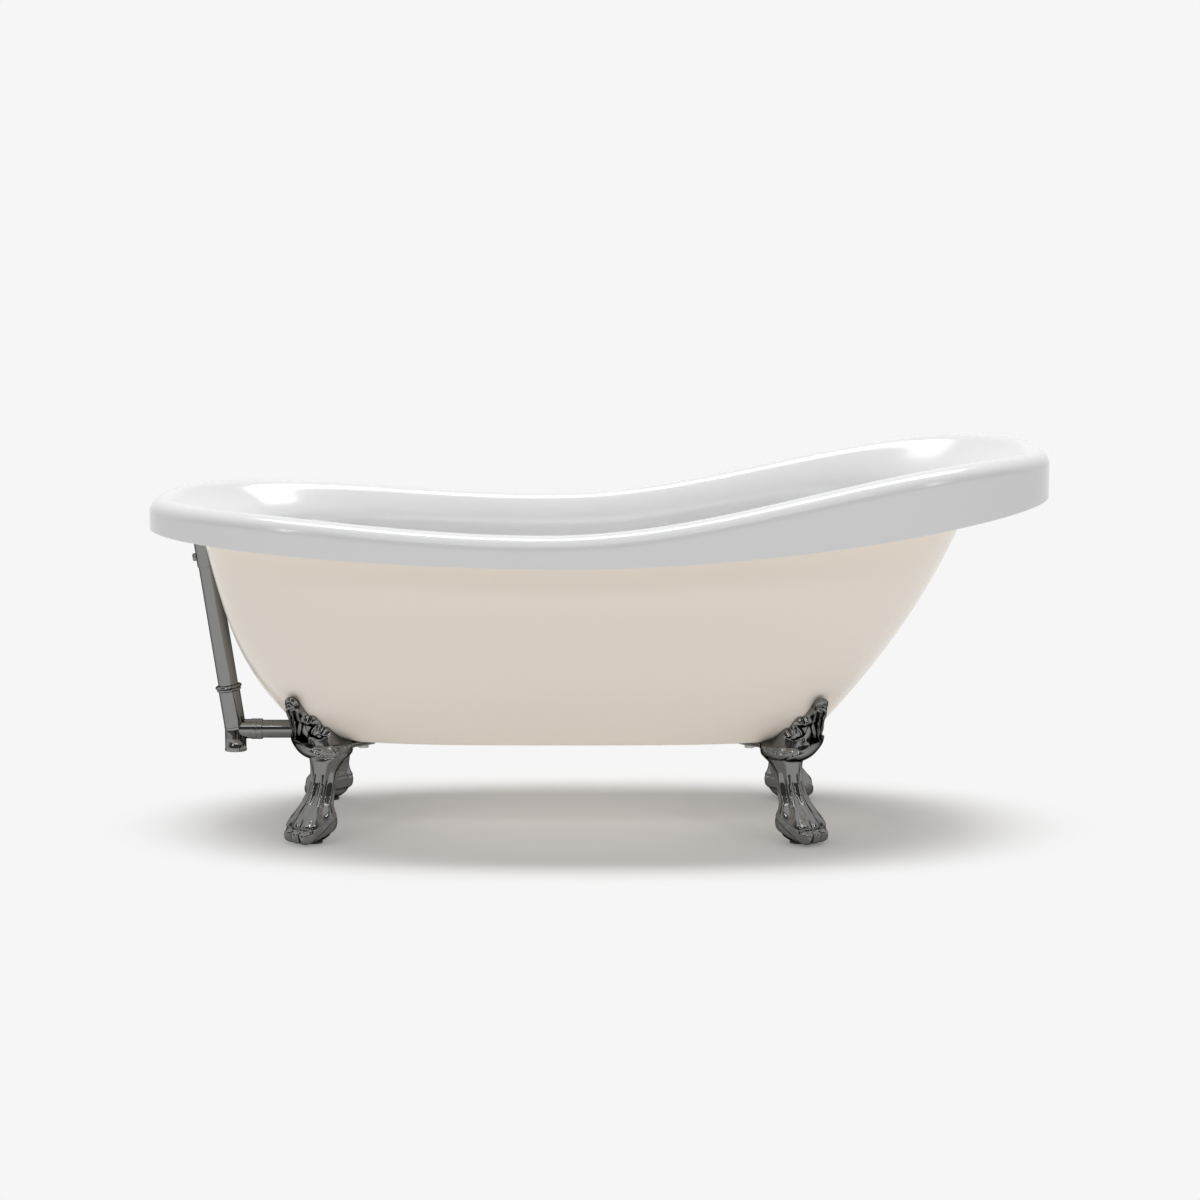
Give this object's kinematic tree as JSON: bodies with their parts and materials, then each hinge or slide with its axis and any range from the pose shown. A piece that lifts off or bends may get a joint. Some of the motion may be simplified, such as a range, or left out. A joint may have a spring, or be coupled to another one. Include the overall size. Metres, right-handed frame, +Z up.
{
  "type": "clawfoot bathtub",
  "caption": "Slipper bathtub with a rolled rim and raised head end, in a separate outer shell on lion-paw feet, with an exposed waste and overflow and a press-to-open plug.",
  "frame": {"origin": "on the floor below the middle of the rim's outline", "axes": "+X along the tub from the drain end to the raised head end, +Z up"},
  "size_m": [1.7021, 0.774, 0.73],
  "materials": {
    "white_acrylic": "polished white acrylic",
    "cream_shell": "gloss cream enamel on a glass-fibre shell",
    "chrome_feet": "polished chrome on cast metal",
    "chrome_waste": "polished chrome on brass tube",
    "chrome_trim": "polished chrome on brass",
    "plated_steel": "zinc plated",
    "brass": "turned",
    "board_wood": "plain sheet",
    "seal_rubber": "moulded",
    "glide_plastic": "moulded"
  },
  "bodies": {
    "tub": {"inner_basin": "white_acrylic", "outer_shell": "cream_shell", "base_board": "board_wood", "foot_bolts": "plated_steel", "foot_washers": "plated_steel", "foot_tee_nuts": "plated_steel", "glide_inserts": "brass", "overflow_elbow": "chrome_waste", "overflow_plug": "chrome_waste", "overflow_gasket": "seal_rubber", "overflow_cover": "chrome_trim", "overflow_screw": "chrome_trim", "overflow_tube": "chrome_waste", "tube_slip_nut": "chrome_waste", "tube_slip_washer": "seal_rubber", "waste_tee": "chrome_waste", "branch_nut": "chrome_waste", "branch_washer": "seal_rubber", "branch_tube": "chrome_waste", "drain_shoe": "chrome_waste", "shoe_gasket": "seal_rubber", "drain_flange": "chrome_trim", "flange_seal": "seal_rubber", "stopper_barrel": "brass", "stopper_spring": "plated_steel", "claw_foot_drain_left": "chrome_feet", "claw_foot_drain_right": "chrome_feet", "claw_foot_head_left": "chrome_feet", "claw_foot_head_right": "chrome_feet"},
    "stopper": {"stopper_cap": "chrome_trim", "stopper_seal": "seal_rubber", "stopper_stem": "brass"},
    "glide_drain_left": {"glide_drain_left": "glide_plastic"},
    "glide_drain_right": {"glide_drain_right": "glide_plastic"},
    "glide_head_left": {"glide_head_left": "glide_plastic"},
    "glide_head_right": {"glide_head_right": "glide_plastic"}
  },
  "joints": [
    {"name": "stopper_lift", "type": "slide", "parent": "tub", "child": "stopper", "axis": [0, 0, 1], "range_m": [0, 0.009], "deforming": ["stopper_spring"]},
    {"name": "glide_drain_left_screw", "type": "slide", "parent": "tub", "child": "glide_drain_left", "axis": [0, 0, -1], "range_m": [0, 0.012]},
    {"name": "glide_drain_right_screw", "type": "slide", "parent": "tub", "child": "glide_drain_right", "axis": [0, 0, -1], "range_m": [0, 0.012]},
    {"name": "glide_head_left_screw", "type": "slide", "parent": "tub", "child": "glide_head_left", "axis": [0, 0, -1], "range_m": [0, 0.012]},
    {"name": "glide_head_right_screw", "type": "slide", "parent": "tub", "child": "glide_head_right", "axis": [0, 0, -1], "range_m": [0, 0.012]}
  ]
}
